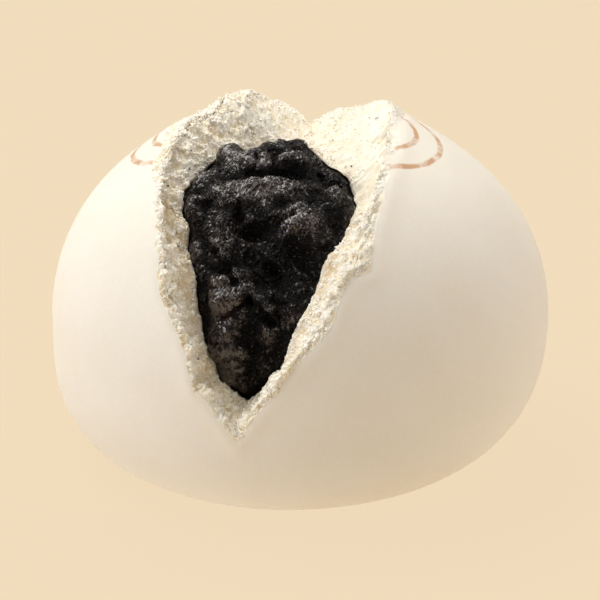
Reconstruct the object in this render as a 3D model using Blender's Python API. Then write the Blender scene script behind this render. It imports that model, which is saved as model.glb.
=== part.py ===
"""Steamed wheat bun torn open at the top, with a core of sweet bean paste.

Two solids in metres, +Z up, resting on z = 0. The dough is one closed surface: it
runs from the underside up the smooth skin, over the torn lip, down the crumb wall
and around the cavity. The bean paste fills the cavity and shows in the tear.

Places on the torn side are written as tear coordinates (u, v) in degrees: the angle
from the tear axis, split into a sideways share u and a fore-and-aft share v. The
axis starts at the centre of the bun and leans to the front and a little to the left.
"""

import bmesh
import bpy
import numpy as np

# Body of the bun: an oval dome on a fuller underside
HALF_WIDTH = 0.0450
HALF_DEPTH = 0.0422
CENTRE_HEIGHT = 0.0247
DOME_RISE = 0.0385
BELLY_DROP = 0.0288
DOME_POWER = 2.07
BELLY_POWER = 2.91
BASE_ROLL = 0.0015
UNDERSIDE_SHIFT = -0.0023
UNDERSIDE_SHIFT_POWER = 1.5
CENTRING = (0.00023, 0.00028)

# Tear axis
TEAR_LEAN_FRONT = 30.0
TEAR_LEAN_LEFT = 8.0

# Edge of the skin around the tear, from the front tip up the right side
SKIN_EDGE = (
    (-13.5, -66.0),
    (13.4, -42.0),
    (17.6, -31.0),
    (23.2, -28.6),
    (24.4, -19.5),
    (31.8, 9.7),
    (37.0, 43.0),
    (29.0, 66.0),
    (4.0, 92.0),
    (-21.0, 62.0),
    (-30.5, 33.0),
    (-28.4, 3.0),
    (-26.4, -29.0),
    (-22.4, -43.0),
    (-22.6, -52.0),
)
SKIN_EDGE_BACK_TIP = 8
SKIN_EDGE_RAG = (1.1, 0.35)

# Crest of the crumb, as a share of the skin edge at the same bearing
CREST_SHARE = (
    (-104.0, 0.97),
    (-20.0, 0.93),
    (30.0, 0.90),
    (52.0, 0.87),
    (72.0, 0.90),
    (86.0, 0.95),
    (91.0, 0.80),
    (99.0, 0.61),
    (128.0, 0.76),
    (160.0, 0.90),
    (215.0, 0.95),
)
PEAKS = (
    (-7.0, 42.0, 11.0, 0.0020),
    (30.0, 40.0, 12.0, 0.0014),
)

# Opening around the paste, from its front tip up the right side
PASTE_EDGE = (
    (-15.5, -63.5),
    (-5.6, -57.8),
    (0.6, -51.0),
    (5.0, -41.0),
    (10.5, -33.0),
    (17.0, -19.5),
    (23.5, -8.0),
    (22.5, 5.0),
    (12.0, 17.0),
    (9.0, 27.0),
    (4.0, 33.0),
    (-8.0, 31.0),
    (-18.5, 22.0),
    (-24.5, 3.0),
    (-23.6, -22.0),
    (-22.6, -38.0),
    (-23.2, -53.0),
)
PASTE_EDGE_BACK_TIP = 10
PASTE_EDGE_RAG = (1.3, 1.1)

# Crumb wall between the crest and the paste
WALL_SLOPE = 0.95
WALL_DEPTH = 0.0074
LIP_RAISE = 0.00045
LIP_CREST = 1.2
LIP_SPREAD = 2.4

# Ball of paste
BALL_CENTRE = (-0.0028, -0.0073, 0.0308)
BALL_RADIUS = 0.0268
BALL_HIDDEN_SHARE = 0.65
PASTE_BULGE = 0.0011
CAVITY_GAP = 0.0004

# Relief: size of the lumps, height of the lumps, seed
CRUMB_RELIEF = ((0.0069, 0.0011, 3), (0.0037, 0.0009, 4))
CALM_SIDE = (-5.0, 20.0, 0.4)
PASTE_FOLDS = ((0.0101, 0.0022, 11), (0.0051, 0.0018, 12))
FOLD_LEVEL = 0.5
SKIN_RELIEF = ((0.0275, 0.00045, 21),)
RAG_CELL = 5.0

# Rows of the surfaces, from pole to pole
COLUMNS = 96
CAVITY_ROWS = 7
WALL_ROWS = 9
CREST_ROWS = 4
SKIN_ROWS = 18
PASTE_SHOWN_ROWS = 22

DOUGH_COLOUR = (0.93, 0.88, 0.78, 1.0)
PASTE_COLOUR = (0.020, 0.013, 0.011, 1.0)


def smooth_step(value):
    """Ease a value from 0 to 1 with flat ends."""
    t = np.clip(value, 0.0, 1.0)
    return t * t * (3.0 - 2.0 * t)


def blend(start, end, share):
    """Mix two arrays by a share from 0 to 1."""
    return start + (end - start) * share


def lattice_value(cell, seed):
    """Return a fixed pseudo-random value from -1 to 1 for each whole-numbered cell."""
    mixed = np.sin(cell @ np.array([127.1, 311.7, 74.7]) + 53.3 * seed) * 43758.5453
    return 2.0 * (mixed - np.floor(mixed)) - 1.0


def lumps(points, size, seed):
    """Smooth value noise from -1 to 1 with lumps of the given size."""
    place = points / size
    corner = np.floor(place)
    share = smooth_step(place - corner)
    total = np.zeros(points.shape[:-1])
    for step in np.ndindex(2, 2, 2):
        offset = np.array(step, dtype=float)
        weight = np.prod(np.where(offset > 0.5, share, 1.0 - share), axis=-1)
        total += weight * lattice_value(corner + offset, seed)
    return total


def relief(points, layers):
    """Add up layers of lumps, each with its size, height and seed."""
    return sum(height * lumps(points, size, seed) for size, height, seed in layers)


def folds(points, layers):
    """Add up layers of rounded folds with sharp creases between them."""
    return sum(
        height * (np.abs(lumps(points, size, seed)) - FOLD_LEVEL)
        for size, height, seed in layers
    )


def direction(polar, bearing, lean=1.0):
    """Turn tear angles in degrees into unit directions; lean fades the axis to +Z."""
    polar, bearing = np.radians(polar), np.radians(bearing)
    x = np.sin(polar) * np.cos(bearing)
    y = np.sin(polar) * np.sin(bearing)
    z = np.cos(polar)
    left = np.radians(TEAR_LEAN_LEFT) * lean
    front = np.radians(TEAR_LEAN_FRONT) * lean
    x, z = x * np.cos(left) - z * np.sin(left), x * np.sin(left) + z * np.cos(left)
    y, z = y * np.cos(front) - z * np.sin(front), y * np.sin(front) + z * np.cos(front)
    return np.stack([x, y, z], axis=-1)


def body_radius(heading):
    """Distance from the centre to the whole bun's skin along each direction."""
    across = np.hypot(heading[..., 0] / HALF_WIDTH, heading[..., 1] / HALF_DEPTH)
    upward = heading[..., 2] >= 0.0
    along = np.abs(heading[..., 2]) / np.where(upward, DOME_RISE, BELLY_DROP)
    power = np.where(upward, DOME_POWER, BELLY_POWER)
    return (across**power + along**power) ** (-1.0 / power)


def ball_radius(heading):
    """Distance from the centre of the bun to the ball of paste along each direction."""
    middle = np.array(BALL_CENTRE) - np.array([0.0, 0.0, CENTRE_HEIGHT])
    toward = heading @ middle
    return toward + np.sqrt(BALL_RADIUS**2 - middle @ middle + toward**2)


def edge_loop(corners, back_tip, rag, seed):
    """Space the columns evenly along a cornered loop and fray it a little.

    Returns:
        The polar angle and the bearing of each column, in degrees. The bearing grows
        steadily from the front tip, so that neighbouring columns stay side by side.
    """
    loop = np.array(corners + corners[:1], dtype=float)
    half = COLUMNS // 2
    sides = []
    for side in (loop[: back_tip + 1], loop[back_tip:]):
        length = np.append(0.0, np.cumsum(np.linalg.norm(np.diff(side, axis=0), axis=1)))
        place = np.linspace(0.0, length[-1], half, endpoint=False)
        sides.append(np.stack([np.interp(place, length, side[:, k]) for k in (0, 1)], axis=1))
    spot = np.concatenate(sides)
    polar = np.hypot(spot[:, 0], spot[:, 1])
    bearing = np.degrees(np.unwrap(np.arctan2(spot[:, 1], spot[:, 0])))
    fray = lumps(np.column_stack([spot, np.zeros(COLUMNS)]), RAG_CELL, seed)
    amount = np.where(spot[:, 0] < 0.0, rag[0], rag[1])
    return polar + amount * fray, bearing


def crest_loop(polar, bearing):
    """Draw the skin edge in toward the axis to the crest of the crumb."""
    station, share = np.array(CREST_SHARE).T
    return polar * np.interp(bearing, station, share, period=360.0), bearing


def flat_place(polar, bearing):
    """Tear coordinates (u, v) of tear angles."""
    angle = np.radians(bearing)
    return np.stack([polar * np.cos(angle), polar * np.sin(angle)], axis=-1)


def gap_to_loop(spot, loop):
    """Smallest distance in degrees from each tear place to a closed loop."""
    start, end = loop, np.roll(loop, -1, axis=0)
    run = end - start
    offset = spot[..., None, :] - start
    along = np.sum(offset * run, axis=-1) / np.sum(run * run, axis=-1)
    nearest = start + np.clip(along, 0.0, 1.0)[..., None] * run
    return np.min(np.linalg.norm(spot[..., None, :] - nearest, axis=-1), axis=-1)


def peak_raise(spot):
    """Height of the crest above the whole bun's skin at each tear place."""
    total = np.zeros(spot.shape[:-1])
    for across, back, spread, height in PEAKS:
        far = np.hypot(spot[..., 0] - across, spot[..., 1] - back)
        total += height * np.exp(-((far / spread) ** 2))
    return total


def crumb_relief(points, spot):
    """Clumps of the torn crumb, which tore more evenly on the right."""
    start, end, calm = CALM_SIDE
    amount = blend(1.0, calm, smooth_step((spot[..., 0] - start) / (end - start)))
    return relief(points, CRUMB_RELIEF) * amount


def lip_height(distance):
    """Height of the rolled lip at a distance in degrees from the edge of the skin."""
    return LIP_RAISE * np.exp(-(((distance - LIP_CREST) / LIP_SPREAD) ** 2))


def rows_between(start, end, count, include_start):
    """Tear angles of evenly spaced rows from one loop of columns to another."""
    share = np.linspace(0.0, 1.0, count + 1)[:, None]
    share = share if include_start else share[1:]
    return blend(start[0], end[0], share), blend(start[1], end[1], share), share


def settle(points):
    """Roll the underside onto the flat base, shift it to the left and centre it."""
    low = np.clip(-points[..., 2] / CENTRE_HEIGHT, 0.0, 1.0)
    x = points[..., 0] + UNDERSIDE_SHIFT * low**UNDERSIDE_SHIFT_POWER + CENTRING[0]
    y = points[..., 1] + CENTRING[1]
    z = points[..., 2] + CENTRE_HEIGHT
    rolled = (np.clip(z, -BASE_ROLL, BASE_ROLL) + BASE_ROLL) ** 2 / (4.0 * BASE_ROLL)
    return np.stack([x, y, np.where(z > BASE_ROLL, z, rolled)], axis=-1)


def core_radius(heading, share):
    """Radius of the paste where dough covers it; share runs from the opening inward."""
    shrink = blend(1.0, BALL_HIDDEN_SHARE, smooth_step(1.6 * share))
    lumpy = folds(heading * BALL_RADIUS, PASTE_FOLDS) * (1.0 - smooth_step(4.0 * share))
    return ball_radius(heading) * shrink + lumpy


def covered_rows(opening):
    """Directions and shares of the rows from the opening down to the far pole."""
    even = np.linspace(0.0, 360.0, COLUMNS, endpoint=False) + opening[1][0]
    far_pole = (np.full(COLUMNS, 180.0), even)
    polar, bearing, share = rows_between(opening, far_pole, CAVITY_ROWS, True)
    return direction(polar, bearing), share


def cavity_surface(opening):
    """Wall of the cavity, from the far pole up to the opening."""
    heading, share = covered_rows(opening)
    radius = core_radius(heading, share) + CAVITY_GAP
    return (heading * radius[..., None])[::-1]


def crumb_surface(opening, crest, edge):
    """Torn crumb: the wall up to the crest, then the shoulder out to the skin."""
    polar, bearing, share = rows_between(opening, crest, WALL_ROWS, False)
    heading = direction(polar, bearing)
    spot = flat_place(polar, bearing)
    whole = body_radius(heading)
    run = np.radians(gap_to_loop(spot, flat_place(*crest))) * whole
    sink = WALL_DEPTH * np.tanh(WALL_SLOPE * run / WALL_DEPTH) - peak_raise(spot)
    paste_sink = whole - core_radius(heading, np.zeros_like(share)) - CAVITY_GAP
    sink = blend(sink, paste_sink, (1.0 - share) ** 3)
    rough = crumb_relief(whole[..., None] * heading, spot)
    sink = sink + rough * smooth_step(3.0 * share)
    wall = heading * (whole - sink)[..., None]

    polar, bearing, share = rows_between(crest, edge, CREST_ROWS, False)
    heading = direction(polar, bearing)
    spot = flat_place(polar, bearing)
    whole = body_radius(heading)
    rough = crumb_relief(whole[..., None] * heading, spot) * (1.0 - share)
    height = blend(peak_raise(spot) - rough, lip_height(0.0), share**2)
    return np.concatenate([wall, heading * (whole + height)[..., None]])


def skin_surface(edge):
    """Smooth skin from the lip of the tear down to the pole of the underside."""
    even = np.linspace(0.0, 360.0, COLUMNS, endpoint=False) + edge[1][0]
    pole = (np.full(COLUMNS, 180.0), even)
    step = np.linspace(0.0, 1.0, SKIN_ROWS + 1)[1:, None] ** 1.25
    step = np.concatenate([[[0.006], [0.018]], step])
    polar = blend(edge[0], pole[0], step)
    bearing = blend(edge[1], pole[1], smooth_step(1.4 * step))
    heading = direction(polar, bearing, 1.0 - smooth_step(1.3 * step))
    whole = body_radius(heading)
    lip = lip_height(gap_to_loop(flat_place(polar, bearing), flat_place(*edge)))
    wave = relief(whole[..., None] * heading, SKIN_RELIEF) * smooth_step(6.0 * step)
    wave = wave * (1.0 - smooth_step(2.0 * step - 0.8))
    return heading * (whole + lip + wave)[..., None]


def paste_surface(opening):
    """Lumpy paste in the opening, then the covered rest of the ball."""
    share = np.linspace(0.0, 1.0, PASTE_SHOWN_ROWS + 1)[:-1, None] ** 0.85
    even = np.linspace(0.0, 360.0, COLUMNS, endpoint=False) + opening[1][0]
    bearing = blend(even, opening[1], smooth_step(2.0 * share))
    heading = direction(opening[0] * share, bearing)
    bulge = PASTE_BULGE * (1.0 - share**14)
    radius = core_radius(heading, np.zeros_like(share)) + bulge
    shown = heading * radius[..., None]
    heading, share = covered_rows(opening)
    hidden = heading * core_radius(heading, share)[..., None]
    return np.concatenate([shown, hidden])


def mould(name, grid, colour, roughness, collection):
    """Shape a sphere's rings and columns into the grid, whose end rows are poles."""
    rings = grid.shape[0] - 1
    mesh = bpy.data.meshes.new(name)
    body = bmesh.new()
    bmesh.ops.create_uvsphere(body, u_segments=COLUMNS, v_segments=rings, radius=1.0)
    body.verts.ensure_lookup_table()
    ball = np.array([vertex.co for vertex in body.verts])
    ring = np.rint(np.arccos(np.clip(ball[:, 2], -1.0, 1.0)) / np.pi * rings).astype(int)
    turn = np.arctan2(ball[:, 1], ball[:, 0]) / (2.0 * np.pi)
    column = np.rint(turn * COLUMNS).astype(int) % COLUMNS
    places = settle(grid[ring, column])
    for vertex, place in zip(body.verts, places):
        vertex.co = place
    bmesh.ops.triangulate(body, faces=body.faces[:])
    body.to_mesh(mesh)
    body.free()
    mesh.shade_smooth()
    mesh.materials.append(finish(name, colour, roughness))
    piece = bpy.data.objects.new(name, mesh)
    collection.objects.link(piece)
    return piece


def finish(name, colour, roughness):
    """Plain material for one piece."""
    material = bpy.data.materials.new(name)
    material.use_nodes = True
    shader = material.node_tree.nodes["Principled BSDF"]
    shader.inputs["Base Color"].default_value = colour
    shader.inputs["Roughness"].default_value = roughness
    shader.inputs["Metallic"].default_value = 0.0
    return material


def build_bun():
    """Model the dough and its core of bean paste."""
    collection = bpy.data.collections.new("bean_bun")
    bpy.context.scene.collection.children.link(collection)
    edge = edge_loop(SKIN_EDGE, SKIN_EDGE_BACK_TIP, SKIN_EDGE_RAG, 31)
    crest = crest_loop(*edge)
    opening = edge_loop(PASTE_EDGE, PASTE_EDGE_BACK_TIP, PASTE_EDGE_RAG, 32)
    dough = np.concatenate([
        cavity_surface(opening),
        crumb_surface(opening, crest, edge),
        skin_surface(edge),
    ])
    mould("dough", dough, DOUGH_COLOUR, 0.60, collection)
    mould("bean_paste", paste_surface(opening), PASTE_COLOUR, 0.35, collection)


for leftover in list(bpy.data.objects):
    bpy.data.objects.remove(leftover)
build_bun()
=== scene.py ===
"""Looks of a steamed wheat bun torn open over a core of sweet bean paste.

The dough and the paste stand in for the plain solids of the same names and keep their
form. Both are worked out from the same named sizes on finer grids, with the small
clumps of the torn crumb and the grain of the paste added. Loose crumbs lie on the torn
faces, and a browned ring that the tear has split marks the skin.

Lengths are metres and angles are degrees. Places on the torn side are tear coordinates
(u, v): the angle from the tear axis, split into a sideways share u and a fore-and-aft
share v. The axis starts at the bun's centre and leans to the front and a little left.
"""

import logging
import math
from collections.abc import Sequence
from dataclasses import dataclass
from enum import Enum
from typing import NamedTuple

import bpy
import numpy as np
from bpy.types import Material, Node, NodeSocket, NodeTree, Object
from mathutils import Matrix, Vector


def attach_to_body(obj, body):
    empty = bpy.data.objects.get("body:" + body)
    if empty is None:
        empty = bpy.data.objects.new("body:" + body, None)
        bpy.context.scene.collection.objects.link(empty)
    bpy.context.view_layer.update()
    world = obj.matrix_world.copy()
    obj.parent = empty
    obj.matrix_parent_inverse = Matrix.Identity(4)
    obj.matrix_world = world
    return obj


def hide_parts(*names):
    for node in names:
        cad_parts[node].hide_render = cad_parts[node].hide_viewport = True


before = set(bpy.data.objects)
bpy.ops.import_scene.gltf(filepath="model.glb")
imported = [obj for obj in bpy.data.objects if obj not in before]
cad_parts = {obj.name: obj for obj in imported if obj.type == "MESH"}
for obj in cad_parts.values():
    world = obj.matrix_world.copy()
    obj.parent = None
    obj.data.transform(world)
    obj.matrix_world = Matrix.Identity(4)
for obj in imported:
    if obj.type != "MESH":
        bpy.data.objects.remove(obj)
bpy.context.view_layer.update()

Array = np.ndarray
Colour = tuple[float, float, float]
Columns = tuple[Array, Array]  # polar angle and bearing of each column round the tear
Bands = tuple[Array, Array, Array]  # places, tear places and share of the small relief
log = logging.getLogger("bean_bun")

BODY = "root"

# Numbers of the hash that fills the cells of the noise
HASH_AXES = np.array([127.1, 311.7, 74.7])
HASH_SEED = 53.3
HASH_SCALE = 43758.5453

# Balls of the pebbled relief, in cells: how far they stray, their radius and its spread
PEBBLE_STRAY = 0.42
PEBBLE_RADIUS = 0.66
PEBBLE_SPREAD = 0.22
PEBBLE_AXIS_SEEDS = (0.17, 0.31, 0.47)
PEBBLE_RADIUS_SEED = 0.59


class Slot(Enum):
    """Names of material slots, listed with each kind of loose bit but given to no piece."""

    DOUGH = "dough"
    BEAN_PASTE = "bean_paste"


class Layer(NamedTuple):
    """One layer of relief: the width of its lumps, their height and its seed."""

    size: float
    height: float
    seed: int


# --- numbers and relief


def smooth_step(value: Array | float) -> Array:
    """Ease a value from 0 to 1 with flat ends."""
    t = np.clip(value, 0.0, 1.0)
    return t * t * (3.0 - 2.0 * t)


def blend(start: Array | float, end: Array | float, share: Array | float) -> Array:
    """Mix two values by a share from 0 to 1."""
    return start + (end - start) * share


def lattice_value(cell: Array, seed: float) -> Array:
    """Give each whole-numbered cell a fixed value from -1 to 1."""
    mixed = np.sin(cell @ HASH_AXES + HASH_SEED * seed) * HASH_SCALE
    return 2.0 * (mixed - np.floor(mixed)) - 1.0


def lumps(points: Array, size: float, seed: float) -> Array:
    """Smooth value noise from -1 to 1.

    The value at a point is the mean of the eight corner values of its cell, weighted by
    the eased distance to each corner.

    Args:
        points: Places, with the three axes last.
        size: Width of a lump.
        seed: Picks the pattern.

    Returns:
        One value for each place.
    """
    place = points / size
    corner = np.floor(place)
    share = smooth_step(place - corner)
    total = np.zeros(points.shape[:-1])
    for step in np.ndindex(2, 2, 2):
        offset = np.array(step, dtype=float)
        weight = np.prod(np.where(offset > 0.5, share, 1.0 - share), axis=-1)
        total += weight * lattice_value(corner + offset, seed)
    return total


def relief(points: Array, layers: Sequence[Layer]) -> Array:
    """Add up layers of lumps."""
    return sum(layer.height * lumps(points, layer.size, layer.seed) for layer in layers)


def folds(points: Array, layers: Sequence[Layer], level: float) -> Array:
    """Add up layers of rounded folds, |lumps| - level, with sharp creases between.

    Args:
        points: Places, with the three axes last.
        layers: Layers of folds.
        level: Height that is taken off each layer.

    Returns:
        One height for each place.
    """
    return sum(
        layer.height * (np.abs(lumps(points, layer.size, layer.seed)) - level)
        for layer in layers
    )


def warped(points: Array, layer: Layer) -> Array:
    """Shift places a little along each axis by lumps with seeds of their own.

    Args:
        points: Places, with the three axes last.
        layer: Width of the lumps, largest shift and first seed.

    Returns:
        The shifted places.
    """
    shifts = [lumps(points, layer.size, layer.seed + axis) for axis in range(3)]
    return points + layer.height * np.stack(shifts, axis=-1)


def pebbles(points: Array, size: float, seed: float) -> Array:
    """Rounded bumps that lie side by side, 0 between them and 1 on top.

    Each cell holds one ball at a jittered place with a radius of its own. The height is
    the largest, over the near balls, of one minus the squared distance in radii.

    Args:
        points: Places, with the three axes last.
        size: Width of a cell.
        seed: Picks the pattern.

    Returns:
        One height for each place.
    """
    place = points / size
    corner = np.floor(place)
    height = np.zeros(points.shape[:-1])
    for step in np.ndindex(3, 3, 3):
        cell = corner + np.array(step, dtype=float) - 1.0
        stray = [lattice_value(cell, seed + part) for part in PEBBLE_AXIS_SEEDS]
        centre = cell + 0.5 + PEBBLE_STRAY * np.stack(stray, axis=-1)
        spread = PEBBLE_SPREAD * lattice_value(cell, seed + PEBBLE_RADIUS_SEED)
        radius = PEBBLE_RADIUS + spread
        distance = np.linalg.norm(place - centre, axis=-1) / radius
        height = np.maximum(height, 1.0 - distance**2)
    return height


def pebbled(points: Array, layers: Sequence[Layer], level: float) -> Array:
    """Add up layers of pebbles, each less the level, times its height.

    Args:
        points: Places, with the three axes last.
        layers: Layers of pebbles.
        level: Share of the height that leaves the size unchanged.

    Returns:
        One height for each place.
    """
    return sum(
        layer.height * (pebbles(points, layer.size, layer.seed) - level) for layer in layers
    )


# --- mesh


def join_rings(counts: Sequence[int]) -> list[list[int]]:
    """Faces between closed rings of vertices that lie one after another.

    Rings with the same count are joined by quads, a ring with half the count of its
    neighbour by pentagons, and a ring of one vertex is a pole joined by triangles. The
    faces look along the cross product of the way down the rings and the way round.

    Args:
        counts: Number of vertices in each ring.

    Returns:
        Vertex numbers of each face.
    """
    faces: list[list[int]] = []
    start = 0
    for near, far in zip(counts[:-1], counts[1:]):
        a, b = start, start + near
        count = min(near, far) if min(near, far) > 1 else max(near, far)
        here = np.arange(count)
        after = (here + 1) % count
        if near == 1:
            columns = [np.full(count, a), b + here, b + after]
        elif far == 1:
            columns = [a + here, np.full(count, b), a + after]
        elif near == far:
            columns = [a + here, b + here, b + after, a + after]
        elif near > far:
            columns = [a + 2 * here, b + here, b + after, a + 2 * after, a + 2 * here + 1]
        else:
            columns = [a + here, b + 2 * here, b + 2 * here + 1, b + 2 * after, a + after]
        faces += np.stack(columns, axis=1).tolist()
        start = b
    return faces


def surface_normals(grid: Array) -> Array:
    """Unit normals of a grid that closes along its columns.

    Each is the cross product of the central difference down the rows and the central
    difference round the columns.

    Args:
        grid: Rows of places, with the three axes last.

    Returns:
        One unit vector for each place.
    """
    down = np.gradient(grid, axis=0)
    around = np.roll(grid, -1, axis=1) - np.roll(grid, 1, axis=1)
    normal = np.cross(down, around)
    return normal / np.maximum(np.linalg.norm(normal, axis=-1, keepdims=True), 1e-12)


def make_piece(
    name: str, points: Array, faces: Sequence[Sequence[int]], material: Material,
    marks: dict[str, Array] | None = None,
) -> Object:
    """Make a smooth-shaded mesh object at the origin.

    Args:
        name: Name of the object and its mesh.
        points: Vertex places, one row each.
        faces: Vertex numbers of each face.
        material: Finish of the whole piece.
        marks: Values for each vertex, stored as named attributes.

    Returns:
        The new object, linked to the scene.
    """
    mesh = bpy.data.meshes.new(name)
    mesh.from_pydata(points.tolist(), [], faces)
    for key, values in (marks or {}).items():
        attribute = mesh.attributes.new(key, "FLOAT", "POINT")
        attribute.data.foreach_set("value", values.astype(np.float32).ravel())
    mesh.materials.append(material)
    mesh.shade_smooth()
    mesh.update()
    piece = bpy.data.objects.new(name, mesh)
    bpy.context.scene.collection.objects.link(piece)
    return piece


def ring_piece(
    name: str, grid: Array, counts: Sequence[int], material: Material, marks: dict[str, Array]
) -> Object:
    """Make a closed piece from a grid whose rows are thinned to the given counts.

    Args:
        name: Name of the piece.
        grid: Rows of places from pole to pole.
        counts: Number of columns to keep in each row; 1 makes a pole.
        material: Finish of the whole piece.
        marks: Grids of values, stored as named attributes.

    Returns:
        The new object.
    """
    columns = grid.shape[1]
    kept = [slice(None, None, columns // count) for count in counts]
    points = np.concatenate([row[pick] for row, pick in zip(grid, kept)])
    values = {
        key: np.concatenate([row[pick] for row, pick in zip(mark, kept)])
        for key, mark in marks.items()
    }
    return make_piece(name, points, join_rings(counts), material, values)


# --- form of the bun


@dataclass(frozen=True)
class BunBody:
    """Oval dome on a fuller underside, with the axis that the tear opens round.

    Attributes:
        half_width: Half of the width.
        half_depth: Half of the depth.
        centre_height: Height of the centre above the floor.
        dome_rise: Height of the dome above the centre.
        belly_drop: Depth of the underside below the centre, before it is flattened.
        dome_power: Roundness of the dome; 2 is an ellipse.
        belly_power: Roundness of the underside.
        base_roll: Roll between the side and the flat base.
        base_shift: How far the base sits to the right of the dome.
        base_shift_power: How late the shift sets in on the way down.
        centring: Small shift that centres the whole bun.
        lean_front: Lean of the tear axis to the front.
        lean_left: Lean of the tear axis to the left.
    """

    half_width: float = 0.0450
    half_depth: float = 0.0422
    centre_height: float = 0.0247
    dome_rise: float = 0.0385
    belly_drop: float = 0.0288
    dome_power: float = 2.07
    belly_power: float = 2.91
    base_roll: float = 0.0015
    base_shift: float = -0.0023
    base_shift_power: float = 1.5
    centring: tuple[float, float] = (0.00023, 0.00028)
    lean_front: float = 30.0
    lean_left: float = 8.0

    def direction(self, polar: Array, bearing: Array, lean: Array | float = 1.0) -> Array:
        """Turn tear angles into unit directions.

        Args:
            polar: Angle from the tear axis.
            bearing: Angle round it, from the right through the back.
            lean: Share of the axis's lean; 0 makes the axis plumb.

        Returns:
            Unit vectors from the centre of the bun.
        """
        polar, bearing = np.radians(polar), np.radians(bearing)
        x = np.sin(polar) * np.cos(bearing)
        y = np.sin(polar) * np.sin(bearing)
        z = np.cos(polar)
        left = np.radians(self.lean_left) * lean
        front = np.radians(self.lean_front) * lean
        x, z = x * np.cos(left) - z * np.sin(left), x * np.sin(left) + z * np.cos(left)
        y, z = y * np.cos(front) - z * np.sin(front), y * np.sin(front) + z * np.cos(front)
        return np.stack([x, y, z], axis=-1)

    def radius(self, heading: Array) -> Array:
        """Distance from the centre to the whole bun's skin along each direction.

        The skin is where (across)**p + (along)**p is 1, with the sideways and upright
        distances taken in half sizes and its own power p above and below the centre.

        Args:
            heading: Unit directions.

        Returns:
            One distance for each direction.
        """
        across = np.hypot(heading[..., 0] / self.half_width, heading[..., 1] / self.half_depth)
        upward = heading[..., 2] >= 0.0
        along = np.abs(heading[..., 2]) / np.where(upward, self.dome_rise, self.belly_drop)
        power = np.where(upward, self.dome_power, self.belly_power)
        return (across**power + along**power) ** (-1.0 / power)

    def settle(self, points: Array) -> Array:
        """Roll the underside onto the flat base, shift it sideways and centre the bun.

        Args:
            points: Places measured from the bun's centre.

        Returns:
            Places above the floor.
        """
        low = np.clip(-points[..., 2] / self.centre_height, 0.0, 1.0)
        x = points[..., 0] + self.base_shift * low**self.base_shift_power + self.centring[0]
        y = points[..., 1] + self.centring[1]
        z = points[..., 2] + self.centre_height
        roll = self.base_roll
        rolled = (np.clip(z, -roll, roll) + roll) ** 2 / (4.0 * roll)
        return np.stack([x, y, np.where(z > roll, z, rolled)], axis=-1)


class Fray(NamedTuple):
    """Unevenness of a torn line: its cell in degrees, how far it strays on the left
    and on the right, and its seed."""

    cell: float
    left: float
    right: float
    seed: int


@dataclass(frozen=True)
class TornLoop:
    """Cornered closed line around the tear.

    Attributes:
        corners: Tear places from the front tip up the right side and round.
        back_tip: Number of the corner at the back, opposite the front tip.
        frays: Unevenness, from coarse to fine.
    """

    corners: tuple[tuple[float, float], ...]
    back_tip: int
    frays: tuple[Fray, ...]

    def columns(self, count: int) -> Columns:
        """Space columns evenly along each side of the loop and fray it.

        Args:
            count: Number of columns, half of them on each side.

        Returns:
            Polar angle and steadily growing bearing of each column.
        """
        loop = np.array(self.corners + self.corners[:1], dtype=float)
        sides = []
        for side in (loop[: self.back_tip + 1], loop[self.back_tip :]):
            steps = np.linalg.norm(np.diff(side, axis=0), axis=1)
            length = np.append(0.0, np.cumsum(steps))
            place = np.linspace(0.0, length[-1], count // 2, endpoint=False)
            sides.append(np.stack([np.interp(place, length, side[:, k]) for k in (0, 1)], 1))
        spot = np.concatenate(sides)
        polar = np.hypot(spot[:, 0], spot[:, 1])
        bearing = np.degrees(np.unwrap(np.arctan2(spot[:, 1], spot[:, 0])))
        flat = np.column_stack([spot, np.zeros(count)])
        for fray in self.frays:
            amount = np.where(spot[:, 0] < 0.0, fray.left, fray.right)
            polar = polar + amount * lumps(flat, fray.cell, fray.seed)
        return polar, bearing


def tear_place(polar: Array, bearing: Array) -> Array:
    """Tear coordinates (u, v) of tear angles."""
    angle = np.radians(bearing)
    return np.stack([polar * np.cos(angle), polar * np.sin(angle)], axis=-1)


def gap_to_loop(spot: Array, loop: Array) -> Array:
    """Smallest distance in degrees from each tear place to a closed line.

    Args:
        spot: Grid of tear places, taken row by row.
        loop: Tear places of the line's columns, of which every second one is used.

    Returns:
        One distance for each place.
    """
    start = loop[::2]
    run = np.roll(start, -1, axis=0) - start
    gaps = []
    for row in spot:
        offset = row[:, None, :] - start
        along = np.sum(offset * run, axis=-1) / np.sum(run * run, axis=-1)
        nearest = np.clip(along, 0.0, 1.0)[..., None] * run
        gaps.append(np.min(np.linalg.norm(offset - nearest, axis=-1), axis=-1))
    return np.array(gaps)


# Opening around the paste, which both pieces share
OPENING = TornLoop(
    corners=(
        (-15.5, -63.5), (-5.6, -57.8), (0.6, -51.0), (5.0, -41.0),
        (10.5, -33.0), (17.0, -19.5), (23.5, -8.0), (22.5, 5.0),
        (12.0, 17.0), (9.0, 27.0), (4.0, 33.0), (-8.0, 31.0),
        (-18.5, 22.0), (-24.5, 3.0), (-23.6, -22.0), (-22.6, -38.0),
        (-23.2, -53.0),
    ),
    back_tip=10,
    frays=(Fray(5.0, 1.3, 1.1, 32), Fray(1.8, 0.55, 0.45, 33), Fray(0.9, 0.4, 0.35, 35)),
)


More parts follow.
